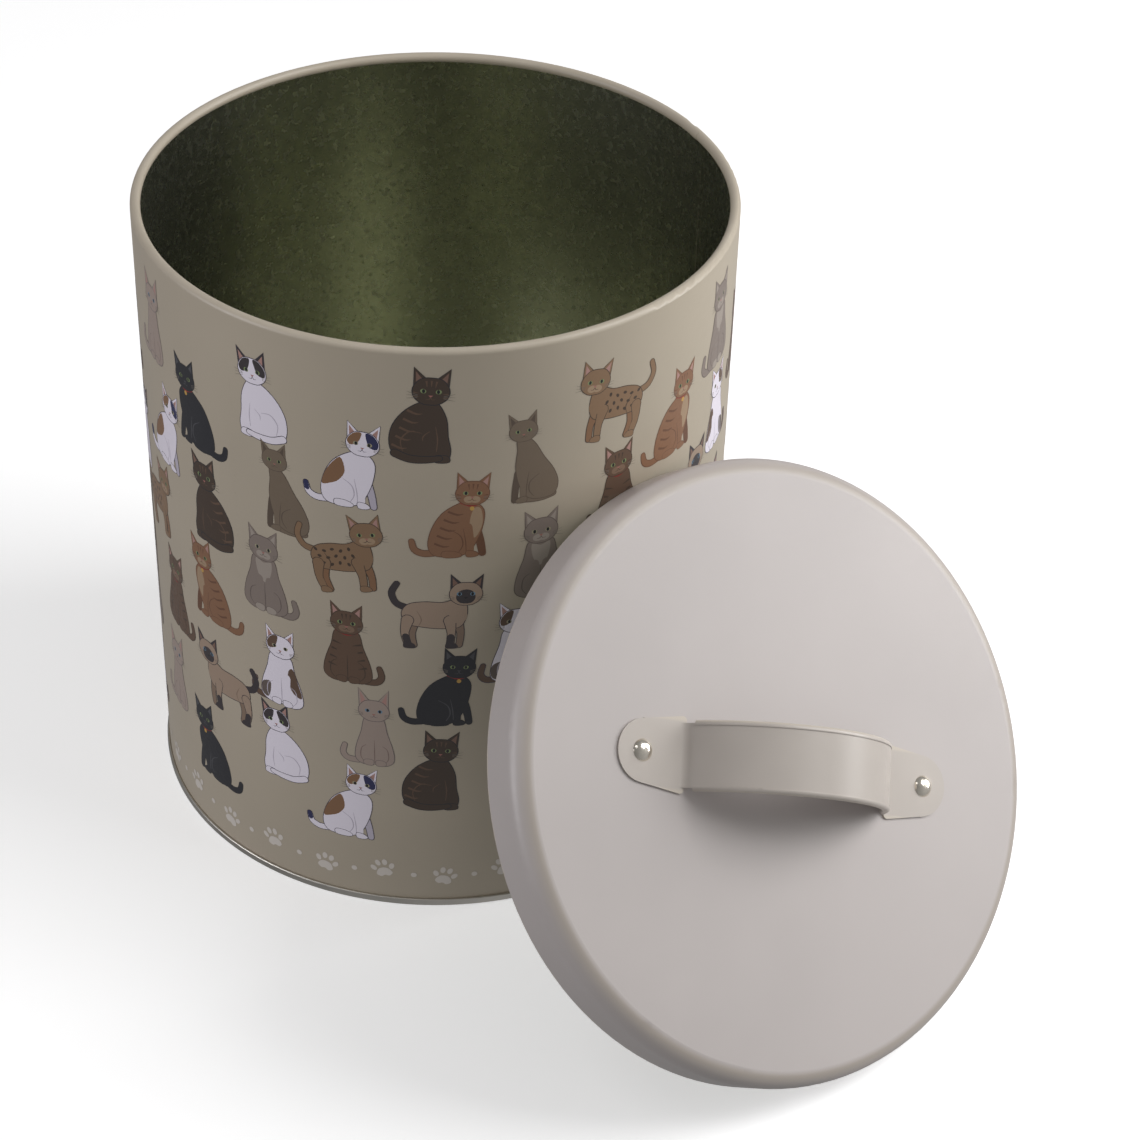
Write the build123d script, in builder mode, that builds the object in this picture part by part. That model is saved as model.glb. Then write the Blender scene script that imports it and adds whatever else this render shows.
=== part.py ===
from build123d import *
import os

# Round tinplate pet food bin with a slip-over lid.
#
# Frame: millimetres, +Z up, origin on the bin's axis in the plane that it stands on.
# The lid is off the bin: it stands on its skirt's edge at -Y and leans back on the bin's wall.

os.makedirs("parts", exist_ok=True)

# Driving dimensions -------------------------------------------------------------------------

sheet = 0.3                  # tinplate of the body, the bottom end and the lid
half_sheet = sheet / 2
fold_gap = 0.05              # play between the folded layers of the base seam

body_r = 105.0               # outside of the body wall
bin_height = 238.0           # floor to the top of the rim
rim_curl_r = 1.8             # outside radius of the rim's inward curl
rim_curl_turn = 300.0        # degrees that the curl turns through

base_seam_height = 2.8       # bright double seam round the foot
seam_fold_r = 0.32           # centre-line radius of its folds
body_hook_top = 2.2
cover_hook_low = 0.9
panel_rise = 4.0             # bottom panel's height above the floor at its edge
panel_dish = 0.8             # extra rise of the panel's middle
panel_dish_r = 82.0
dish_slope = 2.5             # width of the step between the middle and the edge of the panel

compound_width = 0.34        # lining compound in the crown of the base seam
compound_height = 0.26
compound_corner = 0.15       # rounding of its top corners

side_seam_angle = -14.3      # where the body sheet's two ends are locked together, from +X
side_seam_width = 2.7        # degrees of the wall that the lock takes up
side_seam_depth = 0.6        # how far the folded lock stands into the bin
side_seam_foot = 5.0         # where the lock starts, just above the bottom panel
side_seam_rim_gap = 0.5      # where the lock ends, this far below the rim's curl
rim_lap_start = 110.0        # the lap over the rim, in degrees round the curl
rim_lap_turn = 120.0
side_seam_line = 0.3         # degrees, the fine joint line outside
side_seam_line_depth = 0.1
side_seam_line_foot = 3.8    # where that line starts, above the base seam

lid_r = 106.3                # outside of the lid's skirt
lid_depth = 19.0             # flat top to the skirt's edge
lid_shoulder_r = 6.0
hem_r = 0.5                  # outside radius of the fold at the skirt's edge
hem_length = 2.4
hem_fold_tightness = 0.96    # the fold's bend, as a share of the roundest one
lean_angle = 37.0            # elevation of the lid's axis above the horizontal
lean_gap = 0.3               # kept between the skirt's edge and the bin's wall

handle_turn = -30.7          # handle's direction in the lid's plane, from the level line
strap_thick = 0.8
rivet_spacing = 118.0
tab_end_r = 10.6             # round end of each riveted tab
tab_end_inset = 1.0          # centre of the round end, inwards from the rivet
tab_root_half_width = 12.8
tab_corner_r = 1.6
arch_span = 84.0             # between the feet of the arch
arch_rise = 27.5             # mid-surface of the arch above that of the tabs
arch_width = 23.6
arch_foot_r = 3.5            # bend at each foot
edge_roll_r = 1.1            # centre-line radius of the rolled-under long edges
edge_roll_proud = 0.3        # how far the rolls stand above the arch's face
edge_roll_reach = 62.0       # degrees each side of the top that the rolls run to
edge_roll_start = 100.0      # degrees of the roll's section, from its outward side
edge_roll_turn = 250.0

rivet_head_r = 3.75
rivet_head_height = 1.9
rivet_head_bulge = 0.62      # how far the head's dome stands out from a cone
rivet_shank_r = 1.6
rivet_hole_play = 0.05
rivet_tail_r = 2.8
rivet_tail_height = 1.1
rivet_tail_chamfer = 0.35
washer_r = 4.5
washer_thick = 0.8


# Planes -------------------------------------------------------------------------------------

up = Vector(0, 0, 1)


def upright_plane(angle):
    """The half plane through the bin's axis at this angle from +X: x outwards, y up."""
    outwards = Vector(1, 0, 0).rotate(Axis.Z, angle)
    return Plane(origin=(0, 0, 0), x_dir=outwards, z_dir=outwards.cross(up))


# The lid's own axis, from its open side out through its top, and the uphill line in its plane.
level = Vector(1, 0, 0)
lid_axis_dir = Vector(0, -1, 0).rotate(Axis.X, -lean_angle)
uphill = lid_axis_dir.cross(level)

# The hem is round, so it meets the floor and the wall a little inside the skirt's square corner.
hem_ease = hem_r * (uphill.Y + uphill.Z - 1)
lid_centre = Vector(
    0,
    -(body_r + lean_gap + lid_r * uphill.Y - hem_ease),
    lid_r * uphill.Z - hem_ease,
)
lid_axis = Axis(lid_centre, lid_axis_dir)
lid_section = Plane(origin=lid_centre, x_dir=level, z_dir=level.cross(lid_axis_dir))

# The handle's frame: x along the strap, z off the lid's top. In its section, y is off the top.
lid_top_centre = lid_centre + lid_axis_dir * lid_depth
handle_dir = level.rotate(Axis((0, 0, 0), lid_axis_dir), handle_turn)
handle_plane = Plane(origin=lid_top_centre, x_dir=handle_dir, z_dir=lid_axis_dir)
handle_section = Plane(
    origin=lid_top_centre, x_dir=handle_dir, z_dir=handle_dir.cross(lid_axis_dir)
)


# Body shell: one rolled sheet, hooked into the base seam and curled in at the rim -------------

wall_r = body_r - half_sheet
body_hook_r = body_r + 2 * fold_gap + 1.5 * sheet
body_fold_z = sheet + fold_gap + half_sheet
curl_centre = (body_r - rim_curl_r, bin_height - rim_curl_r)
curl_low_z = bin_height - 2 * rim_curl_r
side_seam_height = curl_low_z - side_seam_rim_gap - side_seam_foot

with BuildPart() as body_shell:
    with BuildSketch(Plane.XZ):
        with BuildLine() as wall_line:
            FilletPolyline(
                (body_hook_r, body_hook_top),
                (body_hook_r, body_fold_z),
                (wall_r, body_fold_z),
                (wall_r, curl_centre[1]),
                radius=seam_fold_r,
            )
            CenterArc(curl_centre, rim_curl_r - half_sheet, 0, rim_curl_turn)
        trace(wall_line.line, sheet)
    revolve(axis=Axis.Z)

    # The locked side seam: a folded strip inside, a lap over the rim, a fine line outside.
    with BuildSketch(upright_plane(side_seam_angle - side_seam_width / 2)):
        with Locations((body_r - half_sheet, side_seam_foot)):
            Rectangle(
                half_sheet + side_seam_depth, side_seam_height, align=(Align.MAX, Align.MIN)
            )
        with BuildLine() as lap_line:
            CenterArc(curl_centre, rim_curl_r, rim_lap_start, rim_lap_turn)
        trace(lap_line.line, sheet)
    revolve(axis=Axis.Z, revolution_arc=side_seam_width)
    with BuildSketch(upright_plane(side_seam_angle - side_seam_line / 2)):
        with Locations((body_r, side_seam_line_foot)):
            Rectangle(
                2 * side_seam_line_depth,
                curl_low_z - side_seam_line_foot,
                align=(Align.CENTER, Align.MIN),
            )
    revolve(axis=Axis.Z, revolution_arc=side_seam_line, mode=Mode.SUBTRACT)
body_shell.part.label = "body_shell"
export_step(body_shell.part, "parts/body_shell.step")


# Bottom end: dished panel, chuck wall and the outside of the double seam ----------------------

chuck_r = body_r - sheet - fold_gap - half_sheet
cover_hook_r = body_r + fold_gap + half_sheet
seam_wall_r = body_hook_r + sheet + fold_gap
seam_top_z = base_seam_height - half_sheet
panel_z = panel_rise - half_sheet

with BuildPart() as bottom_end:
    with BuildSketch(Plane.XZ):
        with BuildLine() as end_line:
            FilletPolyline(
                (0, panel_z + panel_dish),
                (panel_dish_r, panel_z + panel_dish),
                (panel_dish_r + dish_slope, panel_z),
                (chuck_r, panel_z),
                (chuck_r, half_sheet),
                (seam_wall_r, half_sheet),
                (seam_wall_r, seam_top_z),
                (cover_hook_r, seam_top_z),
                (cover_hook_r, cover_hook_low),
                radius=seam_fold_r,
            )
        trace(end_line.line, sheet)
    revolve(axis=Axis.Z)
bottom_end.part.label = "bottom_end"
export_step(bottom_end.part, "parts/bottom_end.step")


# Sealing compound: the soft ring that the body's hook presses into ----------------------------

with BuildPart() as base_seam_compound:
    with BuildSketch(Plane.XZ) as compound_section:
        with Locations((body_hook_r, body_hook_top)):
            Rectangle(compound_width, compound_height, align=(Align.CENTER, Align.MIN))
        fillet(compound_section.vertices().group_by(Axis.Y)[-1], radius=compound_corner)
    revolve(axis=Axis.Z)
base_seam_compound.part.label = "base_seam_compound"
export_step(base_seam_compound.part, "parts/base_seam_compound.step")


# Lid shell: flat top, round shoulder, skirt with a folded-in hem; holes for the rivets --------

skirt_r = lid_r - half_sheet
hem_inner_r = lid_r - 2 * hem_r + half_sheet
shoulder_line_r = lid_shoulder_r - half_sheet
hem_line_r = hem_fold_tightness * (hem_r - half_sheet)
rivet_places = [(-rivet_spacing / 2, 0), (rivet_spacing / 2, 0)]

with BuildPart() as lid_shell:
    with BuildSketch(lid_section):
        with BuildLine() as lid_line:
            FilletPolyline(
                (0, lid_depth - half_sheet),
                (skirt_r, lid_depth - half_sheet),
                (skirt_r, half_sheet),
                (hem_inner_r, half_sheet),
                (hem_inner_r, hem_length),
                radius=[shoulder_line_r, hem_line_r, hem_line_r],
            )
        trace(lid_line.line, sheet)
    revolve(axis=lid_axis)
    with BuildSketch(handle_plane):
        with Locations(*rivet_places):
            Circle(rivet_shank_r + rivet_hole_play)
    extrude(amount=-lid_depth / 2, mode=Mode.SUBTRACT)
lid_shell.part.label = "lid_shell"
export_step(lid_shell.part, "parts/lid_shell.step")


# Handle strap: two flat tabs and an arch whose long edges are rolled under --------------------

arch_r = ((arch_span / 2) ** 2 + arch_rise**2) / (2 * arch_rise)
strap_mid = strap_thick / 2
arch_top = strap_mid + arch_rise
arch_centre = handle_section.from_local_coords(Vector(0, arch_top - arch_r))
arch_axis = Axis(arch_centre, handle_section.z_dir)
foot = arch_span / 2
tab_middle = rivet_spacing / 2

with BuildPart() as handle_strap:
    # The arch, seen from the side, with a rounded bend at each foot.
    with BuildSketch(handle_section):
        with BuildLine() as arch_line:
            Line((-tab_middle, strap_mid), (-foot, strap_mid))
            ThreePointArc((-foot, strap_mid), (0, arch_top), (foot, strap_mid))
            Line((foot, strap_mid), (tab_middle, strap_mid))
            feet = arch_line.vertices().sort_by(Axis.X)[1:3]
            fillet(feet, radius=arch_foot_r)
        trace(arch_line.line, strap_thick)
    extrude(amount=arch_width / 2 - edge_roll_r, both=True)

    # The long edges, rolled under from one foot to the other.
    roll_middle = arch_r + edge_roll_proud - edge_roll_r
    roll_place = arch_width / 2 - edge_roll_r - strap_mid
    roll_start_dir = lid_axis_dir.rotate(Axis((0, 0, 0), arch_axis.direction), -edge_roll_reach)
    roll_plane = Plane(
        origin=arch_centre,
        x_dir=arch_axis.direction,
        z_dir=arch_axis.direction.cross(roll_start_dir),
    )
    with BuildSketch(roll_plane):
        with BuildLine() as near_roll:
            CenterArc(
                (roll_place, roll_middle), edge_roll_r, edge_roll_start, -edge_roll_turn
            )
        trace(near_roll.line, strap_thick)
        with BuildLine() as far_roll:
            CenterArc(
                (-roll_place, roll_middle), edge_roll_r, 180 - edge_roll_start, edge_roll_turn
            )
        trace(far_roll.line, strap_thick)
    revolve(axis=arch_axis, revolution_arc=2 * edge_roll_reach)

    # The tabs: round at the end, a little wider at the root.
    for side in (-1, 1):
        with BuildSketch(handle_plane):
            with Locations((side * (tab_middle - tab_end_inset), 0)):
                Circle(tab_end_r)
            root_y = tab_root_half_width - tab_corner_r
            root_x = side * (foot + tab_corner_r)
            with Locations((root_x, -root_y), (root_x, root_y)):
                Circle(tab_corner_r)
            make_hull()
        extrude(amount=strap_thick)
    with BuildSketch(handle_plane):
        with Locations(*rivet_places):
            Circle(rivet_shank_r + rivet_hole_play)
    extrude(amount=strap_thick, mode=Mode.SUBTRACT)
handle_strap.part.label = "handle_strap"
export_step(handle_strap.part, "parts/handle_strap.step")


# Rivets and their backing washers, one of each per tab ----------------------------------------

washer_low = -sheet - washer_thick
tail_low = washer_low - rivet_tail_height

for side_name, place in (("left", -tab_middle), ("right", tab_middle)):
    rivet_axis = Axis(handle_section.from_local_coords(Vector(place, 0)), lid_axis_dir)

    with BuildPart() as rivet:
        with BuildSketch(handle_section):
            with BuildLine():
                Polyline(
                    (place + rivet_head_r, strap_thick),
                    (place + rivet_shank_r, strap_thick),
                    (place + rivet_shank_r, washer_low),
                    (place + rivet_tail_r, washer_low),
                    (place + rivet_tail_r, tail_low + rivet_tail_chamfer),
                    (place + rivet_tail_r - rivet_tail_chamfer, tail_low),
                    (place, tail_low),
                    (place, strap_thick + rivet_head_height),
                )
                SagittaArc(
                    (place, strap_thick + rivet_head_height),
                    (place + rivet_head_r, strap_thick),
                    rivet_head_bulge,
                )
            make_face()
        revolve(axis=rivet_axis)
    rivet.part.label = "handle_rivet_" + side_name
    export_step(rivet.part, "parts/handle_rivet_" + side_name + ".step")

    with BuildPart() as washer:
        with BuildSketch(handle_plane.offset(washer_low)):
            with Locations((place, 0)):
                Circle(washer_r)
                Circle(rivet_shank_r + rivet_hole_play, mode=Mode.SUBTRACT)
        extrude(amount=washer_thick)
    washer.part.label = "rivet_washer_" + side_name
    export_step(washer.part, "parts/rivet_washer_" + side_name + ".step")
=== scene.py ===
import math

import bpy
from mathutils import Matrix, Vector
from mathutils.geometry import delaunay_2d_cdt


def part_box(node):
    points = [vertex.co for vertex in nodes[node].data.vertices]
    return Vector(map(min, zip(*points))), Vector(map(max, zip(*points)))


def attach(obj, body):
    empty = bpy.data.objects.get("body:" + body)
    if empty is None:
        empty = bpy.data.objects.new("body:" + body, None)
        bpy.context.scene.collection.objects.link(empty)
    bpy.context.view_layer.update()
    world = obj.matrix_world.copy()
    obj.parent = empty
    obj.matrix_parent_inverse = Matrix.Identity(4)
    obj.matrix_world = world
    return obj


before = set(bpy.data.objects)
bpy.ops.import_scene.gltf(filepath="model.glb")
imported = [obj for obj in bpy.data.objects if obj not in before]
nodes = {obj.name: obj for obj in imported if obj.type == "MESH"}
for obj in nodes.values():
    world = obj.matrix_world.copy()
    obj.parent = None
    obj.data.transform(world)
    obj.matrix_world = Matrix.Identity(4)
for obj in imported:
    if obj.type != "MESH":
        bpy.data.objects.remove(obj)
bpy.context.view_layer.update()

MM = 0.001

# Sizes in metres. The boxes come from the frame, and the rest repeats the part's own sizes --------

_, body_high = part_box("body_shell")
lid_low, lid_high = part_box("lid_shell")

bin_height = body_high.z
wall_r = 105.0 * MM
rim_curl_r = 1.8 * MM
sheet = 0.3 * MM
lid_r = (lid_high.x - lid_low.x) / 2
lid_depth = 19.0 * MM
shoulder_r = 6.0 * MM
strap_half_width = 11.8 * MM
edge_highlight_width = 0.9 * MM          # the strip along each edge of the handle painted lighter, a painted highlight
hem_length = 2.4 * MM
lean = math.radians(37)
lid_axis = Vector((0, -math.cos(lean), math.sin(lean)))
lid_uphill = Vector((0, math.sin(lean), math.cos(lean)))
handle_turn = math.radians(-30.7)
strap_across = Vector((1, 0, 0)) * -math.sin(handle_turn) + lid_uphill * math.cos(handle_turn)
lid_middle = (lid_low + lid_high) / 2
lid_centre = lid_middle + lid_axis * lid_depth / 2      # the middle of the lid's flat face


# Camera ------------------------------------------------------------------------------------------

camera_place = (-0.5473, -0.6695, 0.7184)
camera_heading = math.radians(47.42)
camera_down = math.radians(36.67)
camera_roll = math.radians(1.77)

camera_data = bpy.data.cameras.new("camera")
camera_data.sensor_width = 36
camera_data.lens = 89.7
camera_data.clip_end = 60
camera = bpy.data.objects.new("camera", camera_data)
bpy.context.scene.collection.objects.link(camera)
camera.matrix_world = (
    Matrix.Translation(camera_place)
    @ Matrix.Rotation(camera_heading - math.pi / 2, 4, "Z")
    @ Matrix.Rotation(math.pi / 2 - camera_down, 4, "X")
    @ Matrix.Rotation(camera_roll, 4, "Z")
)
bpy.context.scene.camera = camera


# Materials ---------------------------------------------------------------------------------------


def new_material(name, colour, roughness, metallic=0.0):
    """A Principled material. Numbers that are even all over sit on the shader's own sockets."""
    material = bpy.data.materials.new(name)
    material.use_nodes = True
    shader = material.node_tree.nodes["Principled BSDF"]
    shader.inputs["Base Color"].default_value = (*colour, 1)
    shader.inputs["Roughness"].default_value = roughness
    shader.inputs["Metallic"].default_value = metallic
    return material


def shader_of(material):
    """The material's Principled shader."""
    return material.node_tree.nodes["Principled BSDF"]


def feed(material, value, socket):
    """Links a node's output to a socket, or sets the socket to a plain value."""
    if isinstance(value, bpy.types.NodeSocket):
        material.node_tree.links.new(value, socket)
    else:
        socket.default_value = value


def place_in(material, output="Object"):
    """A point's place or surface direction in the object's own frame."""
    tree = material.node_tree
    node = tree.nodes.get("place") or tree.nodes.new("ShaderNodeTexCoord")
    node.name = "place"
    return node.outputs[output]


def calc(material, operation, first, second=0.0):
    """A sum on numbers, each a node's output or a plain value."""
    node = material.node_tree.nodes.new("ShaderNodeMath")
    node.operation = operation
    feed(material, first, node.inputs[0])
    feed(material, second, node.inputs[1])
    return node.outputs["Value"]


def vector_calc(material, operation, first, second=(0, 0, 0)):
    """The same for vectors. Dot products and lengths give a number."""
    node = material.node_tree.nodes.new("ShaderNodeVectorMath")
    node.operation = operation
    feed(material, first, node.inputs[0])
    feed(material, second, node.inputs[1])
    return node.outputs["Value" if operation in ("DOT_PRODUCT", "LENGTH") else "Vector"]


def noise(material, scale, detail=2.0, stretch=None):
    """Noise by place in the object; stretch squeezes it along an axis, for brushed grain."""
    texture = material.node_tree.nodes.new("ShaderNodeTexNoise")
    texture.inputs["Scale"].default_value = scale
    texture.inputs["Detail"].default_value = detail
    place = place_in(material)
    if stretch is not None:
        place = vector_calc(material, "MULTIPLY", place, stretch)
    feed(material, place, texture.inputs["Vector"])
    return texture.outputs["Fac"]


def spread(material, value, low, high, from_low=0.35, from_high=0.65):
    """Maps a pattern's usual range onto low..high."""
    ranged = material.node_tree.nodes.new("ShaderNodeMapRange")
    ranged.inputs["From Min"].default_value = from_low
    ranged.inputs["From Max"].default_value = from_high
    feed(material, low, ranged.inputs["To Min"])
    feed(material, high, ranged.inputs["To Max"])
    feed(material, value, ranged.inputs["Value"])
    return ranged.outputs["Result"]


def blend(material, factor, first, second):
    """Colour first where the factor is 0, and second where it is 1."""
    mix = material.node_tree.nodes.new("ShaderNodeMix")
    mix.data_type = "RGBA"
    sockets = [socket for socket in mix.inputs if socket.type == "RGBA"]
    for socket, colour in zip(sockets, (first, second)):
        feed(material, colour if isinstance(colour, bpy.types.NodeSocket) else (*colour, 1), socket)
    feed(material, factor, mix.inputs["Factor"])
    return next(socket for socket in mix.outputs if socket.type == "RGBA")


def vary_roughness(material, low, high, scale, stretch=None):
    """Roughness that wanders between two values, so that the gloss isn't even."""
    grain = spread(material, noise(material, scale, stretch=stretch), low, high)
    feed(material, grain, shader_of(material).inputs["Roughness"])


def add_bump(material, scale, height, stretch=None, detail=2.0):
    """Fine relief; height is in metres."""
    bump = material.node_tree.nodes.new("ShaderNodeBump")
    bump.inputs["Distance"].default_value = height
    feed(material, noise(material, scale, detail, stretch), bump.inputs["Height"])
    feed(material, bump.outputs["Normal"], shader_of(material).inputs["Normal"])
    return bump


def toned(material, colour, shade, scale):
    """A colour that drifts to a darker shade of itself in soft clouds."""
    darker = tuple(shade * part for part in colour)
    cloud = spread(material, noise(material, scale, 3.0), 0, 1)
    return blend(material, cloud, darker, colour)


def from_axis(material, height_axis=Vector((0, 0, 1)), origin=Vector((0, 0, 0))):
    """Distance from an axis, height along it, and the direction out from it."""
    place = vector_calc(material, "SUBTRACT", place_in(material), tuple(origin))
    height = vector_calc(material, "DOT_PRODUCT", place, tuple(height_axis))
    stack = material.node_tree.nodes.new("ShaderNodeVectorMath")
    stack.operation = "SCALE"
    stack.inputs[0].default_value = tuple(height_axis)
    feed(material, height, stack.inputs["Scale"])
    outward = vector_calc(material, "SUBTRACT", place, stack.outputs["Vector"])
    return vector_calc(material, "LENGTH", outward), height, vector_calc(material, "NORMALIZE", outward)


# Finishes. Colours are linear, and the scale of a pattern is per metre ------------------------------

paint_outside = (0.465, 0.405, 0.318)
lid_colour = (0.485, 0.443, 0.428)
# Lighter paint on edges: scuffs, and a painted highlight where the edges catch the light
wear_and_highlight_colour = (0.56, 0.50, 0.42)
shoulder_shade_colour = (0.36, 0.31, 0.255)     # painted shade: a darker band over the lid's shoulder
inner_lacquer = (0.60, 0.61, 0.50)
inner_speckle = (0.66, 0.67, 0.55)
inner_metal = 1.0
paint_roughness = 0.42
lacquer_roughness = 0.26
gloss_drift = 0.025             # the roughness wanders this much to each side
gloss_scale = 420
peel_height = 0.012 * MM        # orange peel in the paint
peel_scale = 900
lacquer_peel = 0.22             # the inner lacquer shows this much of the paint's orange peel
tone_scale = 14                 # the paint's soft clouds
lacquer_tone_scale = 25
speckle_scale = 900
handle_colour = (0.49, 0.443, 0.402)
tin_colour = (0.66, 0.63, 0.58)
nickel_colour = (0.88, 0.82, 0.72)
steel_colour = (0.62, 0.61, 0.59)
compound_colour = (0.5, 0.48, 0.42)
varnish = 0.1
varnish_roughness = 0.3


def coated_tin(name, colour, shade, masks):
    """Satin litho paint outside and olive tin lacquer inside. masks gives the painted part, 0 or 1,
    how much of the paint is lightened by scuffs and painted highlight, and how much is darkened by painted
    shade on a bend."""
    material = new_material(name, colour, paint_roughness)
    painted, wear_and_highlight, shoulder_shade = masks(material)
    # The paint is lightened by scuffs and painted highlight, and darkened by painted shade on a bend
    paint = blend(material, wear_and_highlight, toned(material, colour, shade, tone_scale), wear_and_highlight_colour)
    paint = blend(material, shoulder_shade, paint, shoulder_shade_colour)
    speckle = spread(material, noise(material, speckle_scale, 3.0), 0, 1, 0.45, 0.7)
    lacquer_tone = toned(material, inner_lacquer, 0.93, lacquer_tone_scale)
    lacquer = blend(material, speckle, lacquer_tone, inner_speckle)
    shader = shader_of(material)
    feed(material, blend(material, painted, lacquer, paint), shader.inputs["Base Color"])
    feed(material, spread(material, painted, inner_metal, 0, 0, 1), shader.inputs["Metallic"])
    fine = spread(material, noise(material, gloss_scale), -gloss_drift, gloss_drift)
    base = spread(material, painted, lacquer_roughness, paint_roughness, 0, 1)
    feed(material, calc(material, "ADD", base, fine), shader.inputs["Roughness"])
    shader.inputs["Coat Weight"].default_value = varnish
    shader.inputs["Coat Roughness"].default_value = varnish_roughness
    relief = add_bump(material, peel_scale, peel_height)
    feed(material, spread(material, painted, lacquer_peel, 1.0, 0, 1), relief.inputs["Strength"])
    return material


def body_masks(material):
    """Painted outside the wall and all over the face of the rolled rim. The rim's top is scuffed and painted
    lighter towards its crown, a painted highlight.
    """
    radius, height, outward = from_axis(material)
    normal = place_in(material, "Normal")
    faces_out = vector_calc(material, "DOT_PRODUCT", normal, outward)
    faces_up = vector_calc(material, "DOT_PRODUCT", normal, (0, 0, 1))
    across = calc(material, "SUBTRACT", radius, wall_r - rim_curl_r)
    up = calc(material, "SUBTRACT", height, bin_height - rim_curl_r)
    sideways = calc(material, "MULTIPLY", faces_out, across)
    away = calc(material, "ADD", sideways, calc(material, "MULTIPLY", faces_up, up))
    at_rim = calc(material, "GREATER_THAN", height, bin_height - 2.1 * rim_curl_r)
    on_rim = calc(material, "MULTIPLY", at_rim, calc(material, "GREATER_THAN", away, 0.0))
    on_wall = calc(material, "GREATER_THAN", faces_out, 0.0)
    below_rim = calc(material, "MULTIPLY", on_wall, calc(material, "SUBTRACT", 1.0, at_rim))
    # The rim's top: scuffs and a painted highlight, lighter towards its crown
    rim_top = spread(material, height, 0, 0.5, bin_height - rim_curl_r, bin_height)
    scuffs = spread(material, noise(material, 60, 5.0), 0.35, 1.0, 0.3, 0.7)
    painted = calc(material, "MAXIMUM", on_rim, below_rim)
    # The wall has no band of painted shade
    no_shoulder_shade = 0.0
    return painted, calc(material, "MULTIPLY", rim_top, scuffs), no_shoulder_shade


def lid_masks(material):
    """Painted outside and round the hem. The hem is scuffed and painted lighter, a painted highlight, and the
    shoulder has a band of painted shade.
    """
    radius, height, outward = from_axis(material, lid_axis, lid_centre)
    normal = place_in(material, "Normal")
    faces_up = vector_calc(material, "DOT_PRODUCT", normal, tuple(lid_axis))
    faces_out = vector_calc(material, "DOT_PRODUCT", normal, outward)
    outside = calc(material, "GREATER_THAN", calc(material, "ADD", faces_up, faces_out), 0.0)
    # The hem is lightened by scuffs and a painted highlight
    hem = calc(material, "LESS_THAN", height, hem_length - lid_depth)
    scuffs = spread(material, noise(material, 160, 4.0), 0, 0.8, 0.42, 0.62)
    # Painted shade: a darker band across the shoulder, between these radii
    shoulder_shade_starts = spread(material, radius, 0, 0.6, lid_r - shoulder_r, lid_r - 0.75 * shoulder_r)
    shoulder_shade_ends = spread(material, radius, 1, 0, lid_r - 0.6 * shoulder_r, lid_r - 0.15 * shoulder_r)
    shoulder_shade = calc(material, "MULTIPLY", shoulder_shade_starts, shoulder_shade_ends)
    painted = calc(material, "MAXIMUM", outside, hem)
    return painted, calc(material, "MULTIPLY", hem, scuffs), shoulder_shade


def handle_material():
    """The lid's paint on the strap, painted lighter along both edges as a painted highlight."""
    material = new_material("handle_paint", handle_colour, 0.34)
    from_middle = vector_calc(material, "SUBTRACT", place_in(material), tuple(lid_centre))
    across = vector_calc(material, "DOT_PRODUCT", from_middle, tuple(strap_across))
    off_middle = calc(material, "ABSOLUTE", across)
    # Painted highlight along both edges of the strap
    edge = spread(material, off_middle, 0, 0.75, strap_half_width - edge_highlight_width, strap_half_width)
    paint = blend(material, edge, toned(material, handle_colour, 0.93, 30), wear_and_highlight_colour)
    feed(material, paint, shader_of(material).inputs["Base Color"])
    vary_roughness(material, low=0.3, high=0.4, scale=500)
    add_bump(material, scale=1100, height=0.01 * MM)
    return material


def bare_metal(name, colour, low, high, scale, stretch, relief):
    """Metal with the grain of how it was made: rolled, stamped or tumbled."""
    material = new_material(name, colour, low, 1.0)
    feed(material, toned(material, colour, 0.86, scale / 4), shader_of(material).inputs["Base Color"])
    vary_roughness(material, low, high, scale, stretch)
    add_bump(material, scale, relief, stretch)
    return material


def end_material():
    """Bare tinplate, with the same olive lacquer as the wall on the face that the food touches."""
    material = new_material("end_tinplate", tin_colour, 0.26, 1.0)
    radius, _, _ = from_axis(material)
    up = vector_calc(material, "DOT_PRODUCT", place_in(material, "Normal"), (0, 0, 1))
    faces_food = calc(material, "GREATER_THAN", up, 0.5)
    within_wall = calc(material, "LESS_THAN", radius, wall_r - 2 * sheet)
    inner = calc(material, "MULTIPLY", faces_food, within_wall)
    shader = shader_of(material)
    tin = toned(material, tin_colour, 0.88, 60)
    feed(material, blend(material, inner, tin, inner_lacquer), shader.inputs["Base Color"])
    feed(material, spread(material, inner, 1.0, inner_metal, 0, 1), shader.inputs["Metallic"])
    vary_roughness(material, low=0.34, high=0.40, scale=120)
    add_bump(material, scale=800, height=0.001 * MM)
    return material


def compound_material():
    """Dull, slightly lumpy sealing compound."""
    material = new_material("seam_compound", compound_colour, 0.7)
    tone = toned(material, compound_colour, shade=0.8, scale=200)
    feed(material, tone, shader_of(material).inputs["Base Color"])
    vary_roughness(material, low=0.6, high=0.8, scale=300)
    add_bump(material, scale=1200, height=0.03 * MM)
    return material


def dress(node_name, material):
    """Gives a CAD node its material."""
    node = nodes[node_name]
    node.data.materials.clear()
    node.data.materials.append(material)


dress("body_shell", coated_tin("body_paint", paint_outside, shade=0.93, masks=body_masks))
dress("bottom_end", end_material())
dress("base_seam_compound", compound_material())
dress("lid_shell", coated_tin("lid_paint", lid_colour, shade=0.94, masks=lid_masks))
dress("handle_strap", handle_material())
nickel = bare_metal(
    "nickel", nickel_colour, low=0.16, high=0.26, scale=900, stretch=(1, 1, 1), relief=0.004 * MM,
)
washer_steel = bare_metal(
    "washer_steel", steel_colour, low=0.28, high=0.42, scale=700, stretch=(1, 1, 6), relief=0.01 * MM,
)
for side in ("left", "right"):
    dress("handle_rivet_" + side, nickel)
    dress("rivet_washer_" + side, washer_steel)


# Print: flat drawings in millimetres, x to the right, y up from the line that the cats sit on -------

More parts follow.
